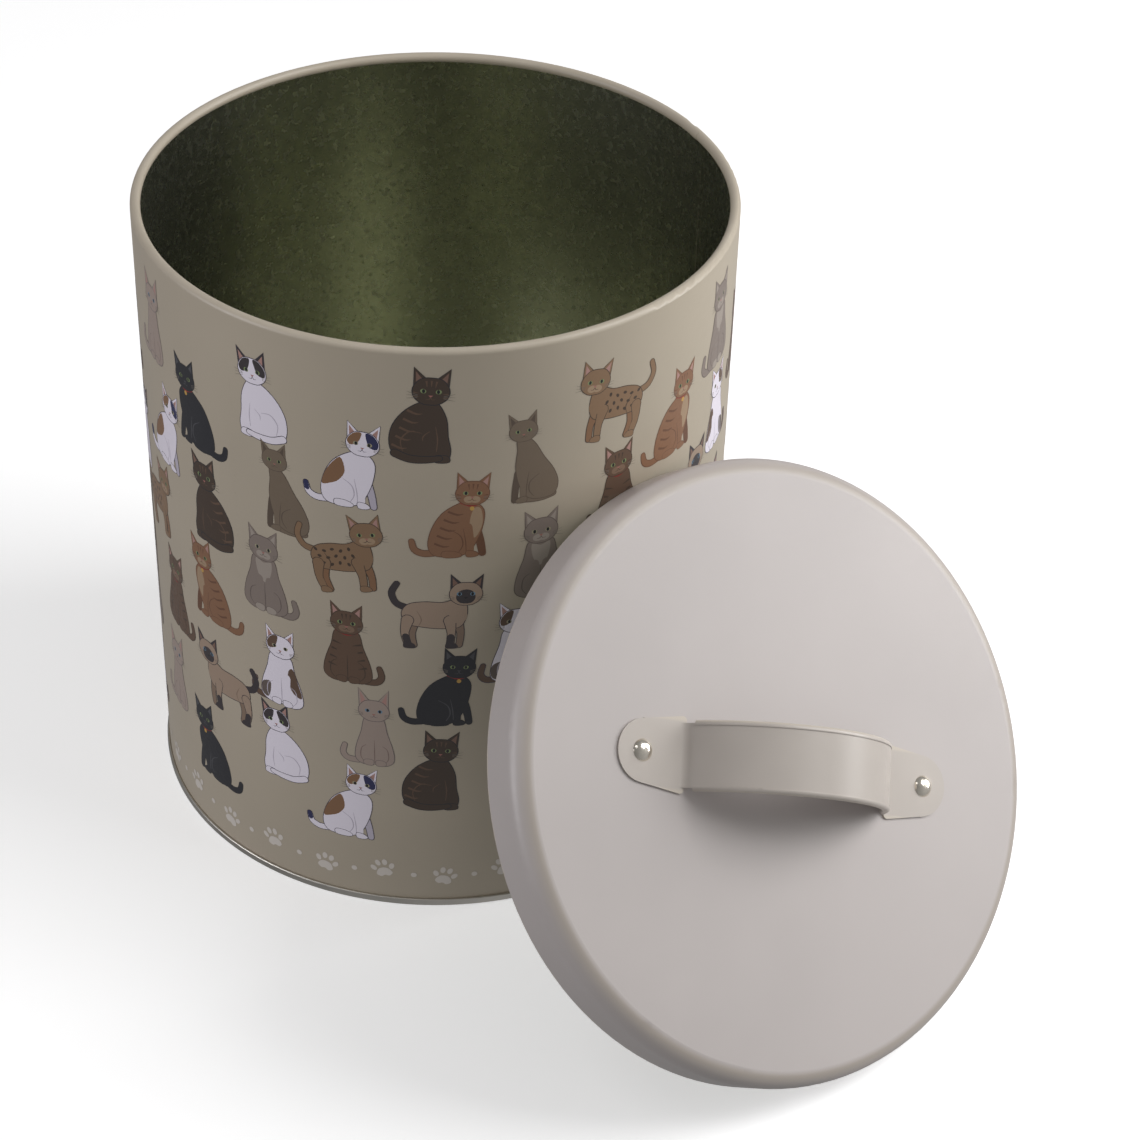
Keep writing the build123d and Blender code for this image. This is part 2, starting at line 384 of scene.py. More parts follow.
outline_width = 0.28          # the darker edge round a shape
thin_outline = 0.22
thinnest_outline = 0.2


def curve(points, closed=True, steps=4):
    """A smooth line through a few points."""
    count = len(points)
    spans = count if closed else count - 1
    line = []
    for i in range(spans):
        picks = [i - 1, i, i + 1, i + 2]
        if closed:
            a, b, c, d = (points[p % count] for p in picks)
        else:
            a, b, c, d = (points[min(max(p, 0), count - 1)] for p in picks)
        for step in range(steps):
            t = step / steps
            line.append(tuple(
                b[k] + 0.5 * t * (c[k] - a[k] + t * (2 * a[k] - 5 * b[k] + 4 * c[k] - d[k]
                + t * (3 * (b[k] - c[k]) + d[k] - a[k])))
                for k in (0, 1)
            ))
    if not closed:
        line.append(points[-1])
    return line


def oval(x, y, half_width, half_height, turn=0, sides=14):
    """An oval about x, y; turn is in degrees."""
    tilt = math.radians(turn)
    c, s = math.cos(tilt), math.sin(tilt)
    ring = []
    for i in range(sides):
        a = 2 * math.pi * i / sides
        u, v = half_width * math.cos(a), half_height * math.sin(a)
        ring.append((x + u * c - v * s, y + u * s + v * c))
    return ring


def brush(points, start, middle, end, steps=4):
    """A stroke along a smooth line, with its width at the start, the middle and the end."""
    line = curve(points, closed=False, steps=steps)
    last = len(line) - 1
    one_side, other_side = [], []
    for i, (x, y) in enumerate(line):
        before, after = line[max(i - 1, 0)], line[min(i + 1, last)]
        dx, dy = after[0] - before[0], after[1] - before[1]
        length = math.hypot(dx, dy) or 1.0
        t = 2 * i / last
        width = start + (middle - start) * t if t < 1 else middle + (end - middle) * (t - 1)
        nx, ny = -dy / length * width / 2, dx / length * width / 2
        one_side.append((x + nx, y + ny))
        other_side.append((x - nx, y - ny))
    return one_side + other_side[::-1]


def rounded_brush(points, start, middle, end):
    """A stroke with round ends, as a tail or a leg."""
    return [
        brush(points, start, middle, end),
        oval(*points[0], start / 2, start / 2, sides=10),
        oval(*points[-1], end / 2, end / 2, sides=10),
    ]


def doubled_area(outline):
    """Twice the outline's area, below 0 where its points run clockwise."""
    return sum(a[0] * b[1] - b[0] * a[1] for a, b in zip(outline, outline[1:] + outline[:1]))


def swollen(outline, by):
    """The outline moved outwards, for the dark edge behind a filled shape."""
    sign = 1 if doubled_area(outline) > 0 else -1
    count = len(outline)
    ring = []
    for i, (x, y) in enumerate(outline):
        before, after = outline[i - 1], outline[(i + 1) % count]
        dx, dy = after[0] - before[0], after[1] - before[1]
        length = math.hypot(dx, dy) or 1.0
        ring.append((x + sign * by * dy / length, y - sign * by * dx / length))
    return ring


def mirrored_points(points):
    """The same points on the left, in the order that carries on a line from the right."""
    return [(-x, y) for x, y in reversed(points)]


def widened(points, by):
    """The points with their distance from the middle line resized."""
    return [(x * by, y) for x, y in points]


def moved(layers, x, y, turn=0, size=1, flip=False):
    """Layers turned, resized, mirrored and put down at a place."""
    tilt = math.radians(turn)
    c, s = size * math.cos(tilt), size * math.sin(tilt)
    side = -1 if flip else 1
    placed = []
    for ink, outline in layers:
        placed.append((ink, [(x + side * (c * u - s * v), y + s * u + c * v) for u, v in outline]))
    return placed


class Coat:
    """The inks of one cat. What only some cats have, such as stripes or a collar, is given by name."""

    def __init__(self, fur, edge, shade, ear="ear_pink", **extra):
        self.fur, self.edge, self.shade, self.ear, self.extra = fur, edge, shade, ear, extra

    def has(self, part):
        return part in self.extra

    def ink(self, part, usual=None):
        return self.extra.get(part, usual or self.fur)


class Drawing:
    """One cat's layers, the lowest first. Each is an ink and a closed outline."""

    def __init__(self, coat):
        self.coat = coat
        self.layers = []

    def patch(self, ink, outline, edge_width=0.0):
        """A filled shape, with a darker edge where edge_width is over 0."""
        if edge_width:
            self.layers.append((self.coat.edge, swollen(outline, edge_width)))
        self.layers.append((ink, outline))

    def stroke(self, ink, points, widths, steps=4):
        self.layers.append((ink, brush(points, *widths, steps)))

    def limb(self, ink, points, widths, edge_width=0.0):
        """A leg or a tail."""
        if edge_width:
            wider = [width + 2 * edge_width for width in widths]
            self.layers += [(self.coat.edge, outline) for outline in rounded_brush(points, *wider)]
        self.layers += [(ink, outline) for outline in rounded_brush(points, *widths)]

    def collar(self, x, y, half_width, sag, thick=1.15):
        if self.coat.has("collar"):
            band = [(x - half_width, y), (x, y - sag), (x + half_width, y)]
            self.stroke(self.coat.ink("collar"), band, (thick * 0.7, thick, thick * 0.7))
        if self.coat.has("tag"):
            self.patch(self.coat.ink("tag"), oval(x, y - sag - 1.3, 0.85, 0.95, 0, 10))


def head(coat, ear_size=1.0):
    """A cat's head about its own middle, 12 wide."""
    cat = Drawing(coat)
    ear_tip = 8.6 * ear_size
    for side in (-1, 1):
        ear = [(side * 5.6, 1.6), (side * 5.9, ear_tip), (side * 1.6, 4.3), (side * 2.5, 0.5)]
        inner_ear = [(side * 5.0, 3.0), (side * 5.3, ear_tip - 1.5), (side * 2.9, 4.2)]
        cat.patch(coat.ink("ears"), ear, outline_width)
        cat.patch(coat.ear, inner_ear)
    cheek = [(3.6, 4.2), (5.9, 0.8), (5.4, -2.6), (2.8, -4.8)]
    skull = [(0, 4.9)] + cheek + [(0, -5.2)] + mirrored_points(cheek)
    cat.patch(coat.fur, curve(skull, steps=3), outline_width)
    if coat.has("point"):
        half_point = [(2.6, 0.9), (3.6, -2), (1.9, -4.3)]
        cat.patch(coat.ink("point"), curve([(0, 1.9)] + half_point + mirrored_points(half_point), steps=3))
    if coat.has("left_patch"):
        left = [(-0.7, 4.6), (-3.6, 4.0), (-5.7, 0.9), (-4.6, -1.2), (-2.2, -0.2), (-1.0, 2.0)]
        cat.patch(coat.ink("left_patch"), curve(left, steps=3))
    if coat.has("right_patch"):
        right = [(0.9, 4.6), (3.6, 4.0), (5.7, 0.9), (5.2, -1.6), (2.6, -1.2), (1.4, 1.4)]
        cat.patch(coat.ink("right_patch"), curve(right, steps=3))
    if coat.has("stripes"):
        for x, y in ((0, 3.9), (1.7, 3.7), (-1.7, 3.7)):
            cat.stroke(coat.shade, [(x, y), (0.8 * x, y - 2.3)], (0.7, 0.5, 0.15), 1)
        for side in (-1, 1):
            for y in (-0.9, -2.3):
                cat.stroke(coat.shade, [(side * 5.6, y), (side * 3.9, y - 0.2)], (0.5, 0.4, 0.1), 1)
    if coat.has("muzzle"):
        for side in (-1, 1):
            cat.patch(coat.ink("muzzle"), oval(side * 1.15, -2.9, 1.9, 1.5, sides=12))
    for side in (-1, 1):
        cat.patch(coat.ink("iris", "eye_white"), oval(side * 2.5, -0.2, 1.0, 0.85, side * 12, 10))
        cat.patch("eye_dark", oval(side * 2.4, -0.2, 0.55, 0.78, 0, 8))
    cat.patch(coat.ink("nose", "nose_pink"), [(-0.75, -1.7), (0.75, -1.7), (0, -2.5)])
    mouth_ink = coat.ink("face_line", coat.edge)
    for side in (-1, 1):
        cat.stroke(mouth_ink, [(0, -2.4), (side * 0.5, -3.3), (side * 1.6, -3.2)], (0.22, 0.24, 0.1), 2)
        for rise in (0.9, 0.1, -0.8):
            whisker = [(side * 4.2, -2.3 + 0.5 * rise), (side * 7.9, -2.2 + 1.6 * rise)]
            cat.stroke("whisker", whisker, (0.2, 0.15, 0.06), 1)
    return cat.layers


def sitting_side(coat):
    """Sitting side-on, turned to the right, its head towards the viewer."""
    cat = Drawing(coat)
    tail = [(-8.5, 2.2), (-12.5, 1.9), (-15.6, 3.6), (-16.6, 7.2)]
    cat.limb(coat.ink("tail"), tail, (2.6, 2.5, 1.9), outline_width)
    if coat.has("tail_tip"):
        cat.limb(coat.ink("tail_tip"), [(-16.2, 5.0), (-16.6, 7.2)], (2.1, 2.0, 1.9))
    far_leg = [(6.6, 12), (8.2, 6.5), (9.0, 1.3)]
    cat.limb(coat.ink("far_leg", coat.shade), far_leg, (3.4, 2.6, 2.2), outline_width)
    body = [
        (5.2, 24.6), (0.2, 23.6), (-5.6, 19.4), (-9.3, 12.6), (-10.6, 5.6), (-8.6, 1.2),
        (-2.6, 0.5), (3.0, 1.6), (6.4, 6.0), (9.0, 13.4), (9.4, 20.5),
    ]
    cat.patch(coat.fur, curve(body), outline_width)
    if coat.has("belly"):
        belly = [(8.4, 21), (9.0, 14.6), (6.6, 8.8), (4.6, 10), (4.4, 16), (6.0, 21.4)]
        cat.patch(coat.ink("belly"), curve(belly))
    if coat.has("back_patch"):
        back = [(-3.2, 21.2), (-8.2, 15.2), (-10.3, 8.6), (-6.6, 9.4), (-3.6, 11.4), (-1.4, 15.6)]
        cat.patch(coat.ink("back_patch"), curve(back))
    if coat.has("stripes"):
        for i in range(5):
            x, y = -3.4 - 1.65 * i + 0.1 * i * i, 20.4 - 3.5 * i
            cat.stroke(coat.shade, [(x, y), (x + 3.3, y - 1.5), (x + 5.6, y - 1.2)], (0.9, 0.8, 0.1), 3)
    cat.stroke(coat.shade, [(-2.6, 12.4), (1.0, 9.6), (1.9, 5.6), (0.4, 2.4)], (0.15, 0.5, 0.25))
    cat.limb(coat.fur, [(3.4, 13.2), (4.5, 7.0), (4.6, 1.5)], (4.0, 2.9, 2.4))
    cat.stroke(coat.shade, [(2.0, 12.8), (2.9, 7.0), (3.1, 2.2)], (0.12, 0.4, 0.25))
    front_paw = [(3.2, 2.6), (6.0, 2.4), (7.6, 1.0), (6.4, 0.1), (3.4, 0.2)]
    hind_paw = [(-5.4, 2.6), (-1.4, 2.7), (1.4, 1.3), (0.2, 0.1), (-5.2, 0.2)]
    for paw in (front_paw, hind_paw):
        cat.patch(coat.ink("paws"), curve(paw), thin_outline)
    cat.collar(5.2, 24.4, 4.4, 1.7)
    return cat.layers + moved(head(coat), 5.4, 28.2, -4)


def sitting_front(coat, slim=1.0, ear_size=1.0):
    """Sitting square to the viewer, its tail round one side."""
    cat = Drawing(coat)
    tail = [(6.5, 1.9), (10.8, 2.0), (12.8, 4.6), (12.0, 8.6)]
    cat.limb(coat.ink("tail"), tail, (2.6, 2.4, 1.8), outline_width)
    flank = [(3.9, 24), (6.0, 17), (8.6, 9), (9.0, 3), (5.4, 0.4)]
    body = flank + [(0, 0.9)] + mirrored_points(flank)
    cat.patch(coat.fur, curve(widened(body, slim)), outline_width)
    if coat.has("stripes"):
        for side in (-1, 1):
            for y in (18.5, 15.2, 11.6, 8.0):
                reach = 8.9 - 0.19 * y
                stripe = [(side * reach, y), (side * (reach - 3.4), y - 1.1)]
                cat.stroke(coat.shade, widened(stripe, slim), (0.9, 0.6, 0.1), 2)
    if coat.has("bib"):
        bib = [(-3.3, 22.6), (0, 21.6), (3.3, 22.6), (2.7, 16.6), (0, 13.2), (-2.7, 16.6)]
        cat.patch(coat.ink("bib"), curve(bib))
    if coat.has("side_patch"):
        near_side = [(-5.3, 19), (-7.4, 12.6), (-8.8, 6.4), (-5.2, 7.6), (-3.2, 12.4), (-3.3, 17.4)]
        cat.patch(coat.ink("side_patch"), curve(widened(near_side, slim)))
    if coat.has("far_patch"):
        far_side = [(5.0, 9.4), (8.6, 8.2), (9.0, 3.4), (6.6, 1.6), (5.2, 4.4)]
        cat.patch(coat.ink("far_patch"), curve(widened(far_side, slim)))
    for side in (-1, 1):
        haunch = [(side * 3.0, 10.6), (side * 6.0, 8.6), (side * 6.6, 4.2), (side * 5.0, 1.6)]
        leg = [(side * 2.3, 14), (side * 2.2, 7), (side * 2.3, 1.7)]
        paw = [(side * 0.7, 2.6), (side * 3.6, 2.7), (side * 4.6, 1.1), (side * 3.2, 0.1), (side * 0.8, 0.2)]
        cat.stroke(coat.shade, widened(haunch, slim), (0.1, 0.42, 0.2))
        cat.limb(coat.fur, widened(leg, slim), (3.6 * slim, 3.0 * slim, 2.9 * slim))
        cat.patch(coat.ink("paws"), curve(paw), thinnest_outline)
    cat.stroke(coat.shade, [(0, 13), (0, 7), (0, 1.4)], (0.1, 0.42, 0.3))
    cat.collar(0, 23.9, 4.3, 1.5)
    return cat.layers + moved(head(coat, ear_size), 0, 27.8)


def standing(coat):
    """Standing side-on to the left, tail up."""
    cat = Drawing(coat)
    tail = [(11.8, 17.6), (15.2, 19.4), (16.6, 23.6), (14.8, 27.6)]
    cat.limb(coat.ink("tail"), tail, (2.4, 2.1, 1.9), outline_width)
    for x, stride in ((-6.2, -0.9), (8.6, 1.2)):
        far_leg = [(x, 12), (x + stride, 6.4), (x + 0.4 * stride, 1.3)]
        cat.limb(coat.ink("far_leg", coat.shade), far_leg, (3.4, 2.3, 2.1), outline_width)
    body = [
        (-6.2, 21.4), (-1.0, 20.0), (5.4, 20.2), (10.8, 19.0), (13.2, 15.2), (11.6, 10.8),
        (5.8, 9.4), (-0.8, 8.8), (-6.8, 9.4), (-9.2, 14.0), (-9.0, 19.6),
    ]
    cat.patch(coat.fur, curve(body), outline_width)
    if coat.has("spots"):
        for i in range(18):
            row, along = divmod(i, 6)
            x, y = -6.4 + 3.1 * along + 0.9 * row, 11.6 + 2.8 * row + 0.7 * (i % 2)
            cat.patch(coat.shade, oval(x, y, 0.85, 0.6, 35 * i, 7))
    cat.stroke(coat.shade, [(8.0, 16.4), (6.4, 12.6), (7.4, 9.8)], (0.1, 0.45, 0.15))
    for x, stride in ((-3.4, -0.5), (11.2, 1.0)):
        paw = [(x + 1.1, 2.2), (x + 1.2, 0.2), (x - 2.2, 0.1), (x - 2.5, 1.1), (x - 1.1, 2.3)]
        cat.limb(coat.fur, [(x, 12.2), (x + stride, 6.6), (x, 1.5)], (4.2, 2.6, 2.3), outline_width)
        cat.limb(coat.ink("socks"), [(x + 0.7 * stride, 5.0), (x, 1.5)], (2.6, 2.45, 2.3))
        cat.patch(coat.ink("socks"), curve(paw), thinnest_outline)
    cat.limb(coat.fur, [(-6.4, 14.0), (-5.6, 18.6)], (6.2, 6.0, 5.6))
    return cat.layers + moved(head(coat), -9.0, 23.6, 3, 0.94)


def hunched(coat, size=1.0):
    """Sitting with a round back to the right and the tail drawn round in front."""
    cat = Drawing(coat)
    body = [
        (-3.4, 23.6), (-6.6, 17.4), (-7.2, 10.0), (-8.0, 4.4), (-6.4, 0.9), (1.0, 0.5),
        (8.0, 1.0), (11.6, 5.2), (11.4, 12.6), (7.6, 19.2), (1.8, 23.4),
    ]
    cat.patch(coat.fur, curve(body), outline_width)
    if coat.has("stripes"):
        for i in range(5):
            x, y = 6.0 + 1.3 * i, 20.4 - 3.4 * i
            cat.stroke(coat.shade, [(x, y), (x - 3.0, y - 1.4), (x - 5.0, y - 1.2)], (0.9, 0.7, 0.1), 3)
    cat.stroke(coat.shade, [(1.4, 11.6), (5.4, 12.0), (8.2, 8.6), (7.6, 4.2)], (0.15, 0.5, 0.2))
    cat.stroke(coat.shade, [(-3.2, 14.2), (-3.8, 9.0), (-3.4, 4.4)], (0.12, 0.42, 0.2))
    cat.stroke(coat.shade, [(-1.4, 12.4), (0.8, 10.4), (1.0, 8.4)], (0.12, 0.4, 0.1))
    paw = [(-7.0, 2.6), (-3.0, 2.7), (-2.2, 1.0), (-4.0, 0.0), (-7.6, 0.3)]
    cat.patch(coat.ink("paws"), curve(paw), thin_outline)
    tail = [(10.2, 3.4), (5.6, 1.5), (0.2, 1.2), (-4.4, 1.7)]
    cat.limb(coat.ink("tail"), tail, (2.8, 2.6, 1.9), outline_width)
    return moved(cat.layers + moved(head(coat), -1.8, 27.9, 4), 0, 0, size=size)


def slender(coat):
    """A long-necked cat sitting in profile to the right, its face turned back to the viewer."""
    cat = Drawing(coat)
    tail = [(-7.6, 1.8), (-3.4, 0.9), (2.0, 1.0), (6.2, 1.5)]
    cat.limb(coat.ink("tail"), tail, (2.3, 2.2, 1.6), outline_width)
    far_leg = [(5.4, 13), (6.6, 7.0), (7.0, 1.4)]
    cat.limb(coat.ink("far_leg", coat.shade), far_leg, (3.0, 2.1, 1.9), outline_width)
    body = [
        (2.8, 28.0), (-0.4, 25.0), (-3.8, 18.6), (-7.6, 12.4), (-9.4, 6.4), (-7.8, 1.6),
        (-2.2, 0.8), (2.6, 2.6), (5.4, 8.4), (6.6, 15.6), (6.0, 22.4), (6.0, 27.4),
    ]
    cat.patch(coat.fur, curve(body), outline_width)
    cat.stroke(coat.shade, [(-2.2, 11.6), (1.2, 8.8), (1.6, 5.0), (-0.2, 2.2)], (0.12, 0.45, 0.2))
    cat.limb(coat.fur, [(3.0, 13.6), (3.8, 7.2), (3.9, 1.5)], (3.6, 2.5, 2.1))
    cat.stroke(coat.shade, [(1.8, 13), (2.5, 7.4), (2.7, 2.4)], (0.1, 0.38, 0.2))
    paw = [(2.6, 2.4), (5.2, 2.2), (6.6, 0.9), (5.6, 0.1), (2.8, 0.2)]
    cat.patch(coat.ink("paws"), curve(paw), thinnest_outline)
    return cat.layers + moved(head(coat, 1.05), 4.0, 31.0, -3, 0.86)


# Colours of the inks, linear
INKS = {
    "band_white": (0.64, 0.59, 0.54), "outline": (0.060, 0.050, 0.075), "grey_line": (0.15, 0.125, 0.125),
    "white_fur": (0.82, 0.77, 0.86), "white_shade": (0.50, 0.46, 0.54), "patch_brown": (0.235, 0.125, 0.065),
    "ginger": (0.24, 0.122, 0.066), "ginger_shade": (0.145, 0.066, 0.036), "ginger_light": (0.36, 0.25, 0.16),
    "taupe": (0.180, 0.136, 0.096), "taupe_shade": (0.105, 0.076, 0.056), "tan": (0.245, 0.150, 0.085),
    "mauve": (0.235, 0.190, 0.165), "mauve_shade": (0.130, 0.100, 0.088), "mauve_light": (0.35, 0.30, 0.26),
    "bare_skin": (0.36, 0.285, 0.245), "bare_shade": (0.21, 0.150, 0.130), "whisker": (0.16, 0.14, 0.12),
    "cream": (0.35, 0.255, 0.19), "cream_shade": (0.23, 0.16, 0.115), "dark_point": (0.045, 0.036, 0.040),
    "brown": (0.125, 0.074, 0.048), "brown_shade": (0.062, 0.040, 0.028), "brown_light": (0.21, 0.135, 0.090),
    "black_fur": (0.022, 0.022, 0.028), "black_shade": (0.075, 0.075, 0.085), "navy": (0.028, 0.030, 0.095),
    "ear_pink": (0.42, 0.24, 0.21), "ear_brown": (0.20, 0.115, 0.085), "nose_pink": (0.36, 0.15, 0.13),
    "eye_dark": (0.012, 0.012, 0.014), "eye_white": (0.36, 0.33, 0.22), "eye_blue": (0.16, 0.26, 0.36),
    "eye_green": (0.23, 0.29, 0.13), "red": (0.30, 0.022, 0.020), "gold": (0.52, 0.31, 0.075),
}

CATS = {
    "capped": lambda: hunched(Coat(
        "white_fur", "outline", "white_shade", ears="dark_point",
        left_patch="dark_point", right_patch="dark_point", iris="eye_green",
    )),
    "ginger": lambda: sitting_side(Coat(
        "ginger", "ginger_shade", "ginger_shade", belly="ginger_light", stripes=True,
        collar="red", tag="gold", muzzle="ginger_light", iris="eye_green",
    )),
    "bare": lambda: sitting_front(Coat("bare_skin", "grey_line", "bare_shade", iris="eye_blue"), 0.84, 1.22),
    "taupe": lambda: slender(Coat(
        "taupe", "taupe_shade", "taupe_shade", ear="taupe_shade", iris="eye_green",
    )),
    "pointed": lambda: standing(Coat(
        "cream", "dark_point", "cream_shade", ear="ear_brown", ears="dark_point", point="dark_point",
        tail="dark_point", socks="dark_point", iris="eye_blue", far_leg="cream_shade", nose="eye_dark",
    )),
    "calico": lambda: sitting_side(Coat(
        "white_fur", "outline", "white_shade", left_patch="patch_brown", right_patch="navy",
        back_patch="patch_brown", tail_tip="navy", far_leg="white_shade",
    )),
    "grey": lambda: sitting_front(Coat(
        "mauve", "mauve_shade", "mauve_shade", ear="mauve_light",
        bib="mauve_light", muzzle="mauve_light", paws="mauve_light",
    )),
    "black": lambda: sitting_side(Coat(
        "black_fur", "black_fur", "black_shade", ear="black_shade", collar="red", tag="gold",
        iris="eye_green", far_leg="black_fur", face_line="black_shade", nose="black_shade",
    )),
    "spotted": lambda: standing(Coat(
        "tan", "brown_shade", "brown_shade", spots=True, far_leg="patch_brown",
        muzzle="ginger_light", iris="eye_green",
    )),
    "patched": lambda: sitting_front(Coat(
        "white_fur", "outline", "white_shade", right_patch="brown", side_patch="brown",
        far_patch="mauve_shade", tail="brown",
    )),
    "brown_big": lambda: hunched(Coat(
        "brown_shade", "black_fur", "brown", ear="ear_brown", stripes=True,
        iris="eye_green", face_line="brown",
    ), 1.08),
    "brown": lambda: sitting_front(Coat(
        "brown", "brown_shade", "brown_shade", stripes=True, muzzle="brown_light",
        collar="red", iris="eye_green",
    )),
}


# The print on the wall, in millimetres unless a line says MM ---------------------------------------

print_lift = 0.035 * MM       # the ink's height above the paint
overlap_step = 0.005 * MM     # neighbours differ by this, so touching drawings share no surface
lift_levels = 4               # how many heights the drawings of one mesh take in turn
bend_step = 2.6               # widest flat piece of print, so that it follows the round wall
merge_distance = 0.004        # outline points nearer than this become one
circumference = 2 * math.pi * wall_r / MM
seam_angle = math.radians(-14.3)


def flattened(layers):
    """Cuts overlapping layers into one flat mesh, where each face has the ink of its top layer."""
    points, outlines, cuts = [], [], []
    for _, outline in layers:
        ordered = outline if doubled_area(outline) > 0 else outline[::-1]
        outlines.append(list(range(len(points), len(points) + len(ordered))))
        points += [Vector(point) for point in ordered]
    left, right = min(p.x for p in points), max(p.x for p in points)
    low, high = min(p.y for p in points) - 1, max(p.y for p in points) + 1
    for i in range(1, math.ceil((right - left) / bend_step)):
        x = left + i * bend_step
        cuts.append((len(points), len(points) + 1))
        points += [Vector((x, low)), Vector((x, high))]
    result = delaunay_2d_cdt(points, cuts, outlines, 0, merge_distance)
    corners, faces, owners = result[0], result[2], result[5]
    kept = [(face, layers[max(owner)][0]) for face, owner in zip(faces, owners) if owner]
    return [tuple(corner) for corner in corners], kept


def ink_material(ink):
    """Litho ink: a little glossier and more uneven than the paint under it."""
    name = "ink_" + ink
    if name in bpy.data.materials:
        return bpy.data.materials[name]
    material = new_material(name, INKS[ink], 0.4)
    vary_roughness(material, low=0.34, high=0.46, scale=700)
    shader_of(material).inputs["Coat Weight"].default_value = varnish
    shader_of(material).inputs["Coat Roughness"].default_value = varnish_roughness
    add_bump(material, scale=1500, height=0.006 * MM)
    return material


def wrapped(name, drawings, lift):
    """One mesh of flat drawings laid round the wall. Each is (flat mesh, angle, height)."""
    points, faces, inks = [], [], []
    for i, ((corners, flat_faces), angle, height) in enumerate(drawings):
        start = len(points)
        radius = wall_r + lift + (i % lift_levels) * overlap_step
        for x, y in corners:
            a = angle + x * MM / wall_r
            points.append((radius * math.cos(a), radius * math.sin(a), (height + y) * MM))
        for face, ink in flat_faces:
            faces.append([start + corner for corner in face])
            inks.append(ink)
    used = sorted(set(inks))
    mesh = bpy.data.meshes.new(name)
    mesh.from_pydata(points, [], faces)
    for ink in used:
        mesh.materials.append(ink_material(ink))
    mesh.polygons.foreach_set("material_index", [used.index(ink) for ink in inks])
    piece = bpy.data.objects.new(name, mesh)
    bpy.context.scene.collection.objects.link(piece)
    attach(piece, "bin")
    return piece


# The cats stand in staggered columns, and the kinds follow each other by a fixed step in CATS
column_count = 21
row_count = 5
seam_margin = 12.0            # clear wall on each side of the side seam
column_pitch = (circumference - 2 * seam_margin) / column_count
first_column = 0.4            # in columns from the margin
row_pitch = 37.0
top_feet = 194.0
row_shift = 6.0               # every other row starts this much further along
sway_along, sway_up = 2.8, 1.6          # how far a cat stands off its place in the grid
along_turn = (2.6, 1.9)       # radians that the sway along the wall turns by, per column and per row
up_turn = (1.3, 2.2)          # the same for the sway upwards
kind_step_along, kind_step_down = 5, 3          # how far on in CATS the next column or row starts
sizes = {
    "taupe": 0.92, "ginger": 0.92, "bare": 0.9, "capped": 0.94, "grey": 0.98, "black": 0.92,
    "pointed": 0.98, "calico": 0.92, "patched": 0.94, "spotted": 0.98, "brown": 0.94, "brown_big": 0.92,
}
prowl_tilt = -12              # degrees; the spotted cats walk downhill

flat_cats = {}


def printed_kind(kind, mirrored):
    """A cat cut into one flat mesh, drawn once for all its copies."""
    if (kind, mirrored) not in flat_cats:
        tilt = prowl_tilt if kind == "spotted" else 0
        layers = moved(CATS[kind](), 0, 0, tilt, sizes[kind])
        flat_cats[kind, mirrored] = flattened(moved(layers, 0, 0, flip=mirrored))
    return flat_cats[kind, mirrored]


def printed_row(row):
    """Every cat of one row round the wall: its flat mesh, angle and feet height."""
    kinds = list(CATS)
    for column in range(column_count):
        kind = kinds[(kind_step_along * column + kind_step_down * row) % len(kinds)]
        mirrored = (column // 2 + row) % 2 == 1
        along = seam_margin + (column + first_column) * column_pitch + row_shift * (row % 2)
        along += sway_along * math.sin(along_turn[0] * column + along_turn[1] * row)
        feet = top_feet - (row + 0.5 * (column % 2)) * row_pitch
        feet += sway_up * math.cos(up_turn[0] * column + up_turn[1] * row)
        yield printed_kind(kind, mirrored), seam_angle + along * MM / wall_r, feet


for row in range(row_count):
    row_lift = print_lift + 2 * overlap_step * (row % 2)
    wrapped(f"printed_cats_row_{row + 1}", list(printed_row(row)), row_lift)


# A band of paw prints and dots round the foot
band_pitch = 22.0
band_count = round(circumference / band_pitch)
band_height = 14.0
paw_step = 1.2                # the paws stand this much above and below the dots, in turn
paw_turn = 14


def paw_print(turn):
    """One pad and four toes about the middle of the paw."""
    half_pad = [(2.0, 0.5), (3.0, -1.7), (1.5, -2.9)]
    pad = [(0, 1.2)] + half_pad + [(0, -2.4)] + mirrored_points(half_pad)
    layers = [("band_white", curve(pad))]
    for x, y, tilt in ((-3.4, 1.5, 30), (-1.3, 3.6, 8), (1.3, 3.6, -8), (3.4, 1.5, -30)):
        layers.append(("band_white", oval(x, y, 1.0, 1.45, tilt)))
    return moved(layers, 0, 0, turn)


flat_paws = [flattened(paw_print(turn)) for turn in (-paw_turn, paw_turn)]
flat_dot = flattened([("band_white", oval(0, 0, 1.1, 1.1))])
band = []
for i in range(band_count):
    angle = seam_angle + (i + 0.5) * 2 * math.pi / band_count
    paw_height = band_height + (paw_step if i % 2 else -paw_step)
    band.append((flat_paws[i % 2], angle, paw_height))
    band.append((flat_dot, angle + math.pi / band_count, band_height))
wrapped("printed_paw_band", band, print_lift)


# Floor and light ---------------------------------------------------------------------------------

floor_half_side = 24.0
floor_glow = 0.4
light_target = Vector((0.0, -0.06, 0.10))
window_colour = (0.97, 0.96, 1.0)
window_side = (0.74, -0.67, 0.0)        # the side of the room that gives most light
dim_side_light, window_side_light = 0.15, 0.42
backdrop_brightness = 0.85              # what the camera sees of the room, pale in low views


def flat_square(name, half_side):
    """A square lying at height 0."""
    mesh = bpy.data.meshes.new(name)
    corners = [(-half_side, -half_side, 0), (half_side, -half_side, 0)]
    corners += [(half_side, half_side, 0), (-half_side, half_side, 0)]
    mesh.from_pydata(corners, [], [(0, 1, 2, 3)])
    square = bpy.data.objects.new(name, mesh)
    bpy.context.scene.collection.objects.link(square)
    return square


floor = flat_square("floor", floor_half_side)
floor_paper = new_material("floor_paper", (0.88, 0.88, 0.88), 0.8)
shader_of(floor_paper).inputs["Emission Color"].default_value = (1, 1, 1, 1)
shader_of(floor_paper).inputs["Emission Strength"].default_value = floor_glow
floor.data.materials.append(floor_paper)
floor.visible_glossy = False
floor.visible_diffuse = False           # the paper doesn't throw its white back up on the paint


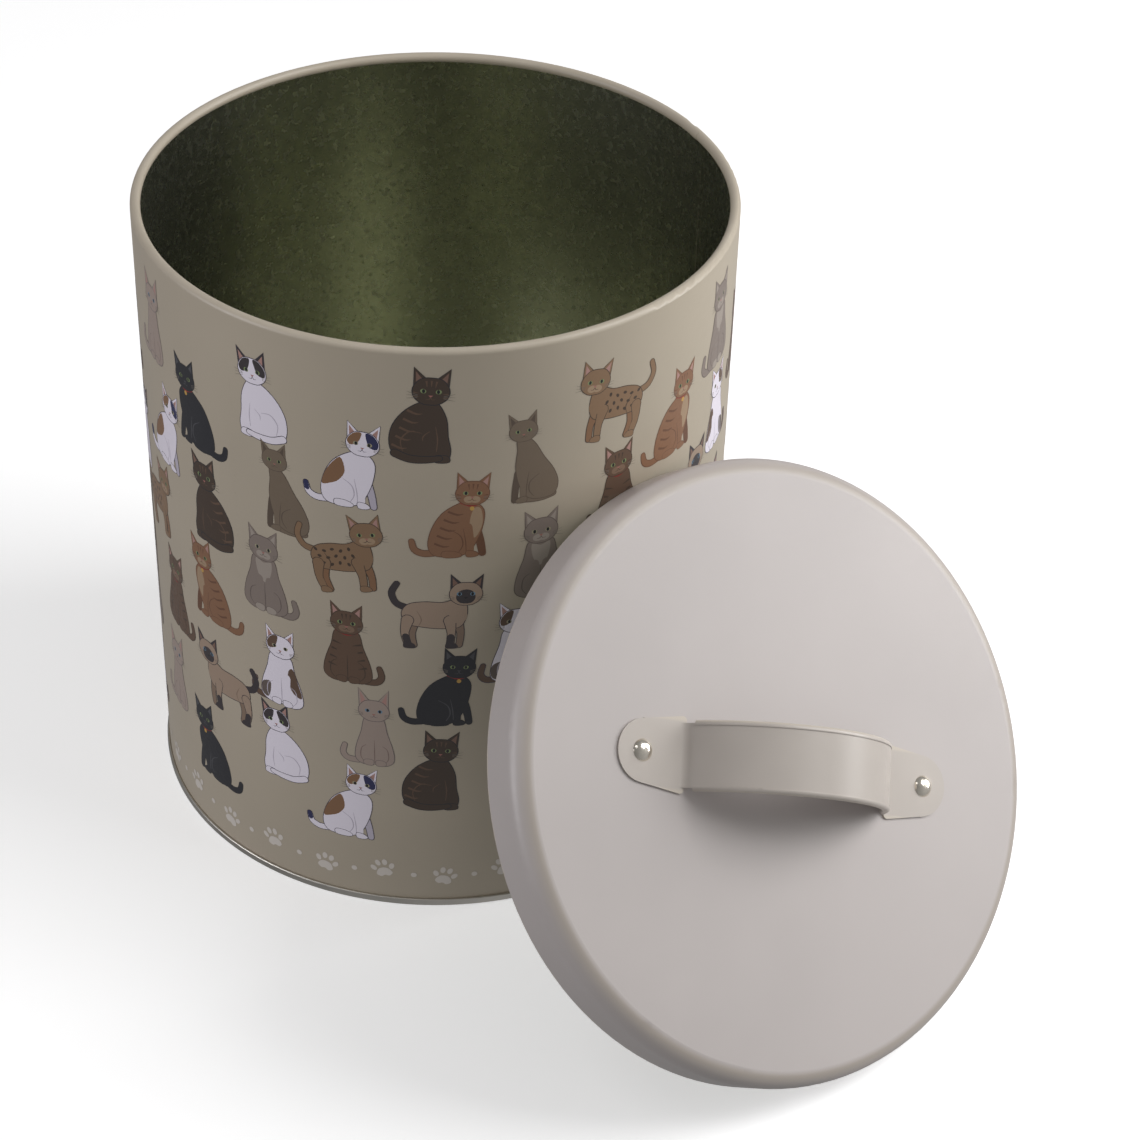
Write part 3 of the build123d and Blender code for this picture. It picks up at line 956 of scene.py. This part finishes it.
def area_light(name, azimuth, elevation, distance, size, power, colour=(1, 1, 1)):
    """A square light aimed at the bin. Azimuth and elevation are in degrees, distance in metres."""
    data = bpy.data.lights.new(name, "AREA")
    data.shape = "RECTANGLE"
    data.size = data.size_y = size
    data.energy = power
    data.color = colour
    turn, rise = math.radians(azimuth), math.radians(elevation)
    across = distance * math.cos(rise)
    away = Vector((across * math.cos(turn), across * math.sin(turn), distance * math.sin(rise)))
    place = light_target + away
    light = bpy.data.objects.new(name, data)
    light.location = place
    light.rotation_euler = (light_target - place).to_track_quat("-Z", "Y").to_euler()
    bpy.context.scene.collection.objects.link(light)


area_light("key", azimuth=-48, elevation=48, distance=2.4, size=1.3, power=29)
area_light("left_window", azimuth=158, elevation=14, distance=1.7, size=0.9, power=11, colour=window_colour)
area_light("top_left", azimuth=177, elevation=62, distance=2.15, size=0.6, power=2.5)
area_light("right_strip", azimuth=-35, elevation=15, distance=0.9, size=0.5, power=4.0)

world = bpy.data.worlds.new("world")
world.use_nodes = True
sky = world.node_tree
background = sky.nodes["Background"]
direction = sky.nodes.new("ShaderNodeTexCoord").outputs["Generated"]
toward_window = sky.nodes.new("ShaderNodeVectorMath")
toward_window.operation = "DOT_PRODUCT"
toward_window.inputs[1].default_value = window_side
sky.links.new(direction, toward_window.inputs[0])
room_light = sky.nodes.new("ShaderNodeMapRange")
room_light.inputs["From Min"].default_value = -1
room_light.inputs["To Min"].default_value = dim_side_light
room_light.inputs["To Max"].default_value = window_side_light
sky.links.new(toward_window.outputs["Value"], room_light.inputs["Value"])
background.inputs["Color"].default_value = (1, 1, 1, 1)
seen_strength = sky.nodes.new("ShaderNodeMapRange")
seen_strength.inputs["To Max"].default_value = backdrop_brightness
sky.links.new(sky.nodes.new("ShaderNodeLightPath").outputs["Is Camera Ray"], seen_strength.inputs["Value"])
sky.links.new(room_light.outputs["Result"], seen_strength.inputs["To Min"])
sky.links.new(seen_strength.outputs["Result"], background.inputs["Strength"])
bpy.context.scene.world = world
bpy.context.scene.view_settings.view_transform = "Standard"
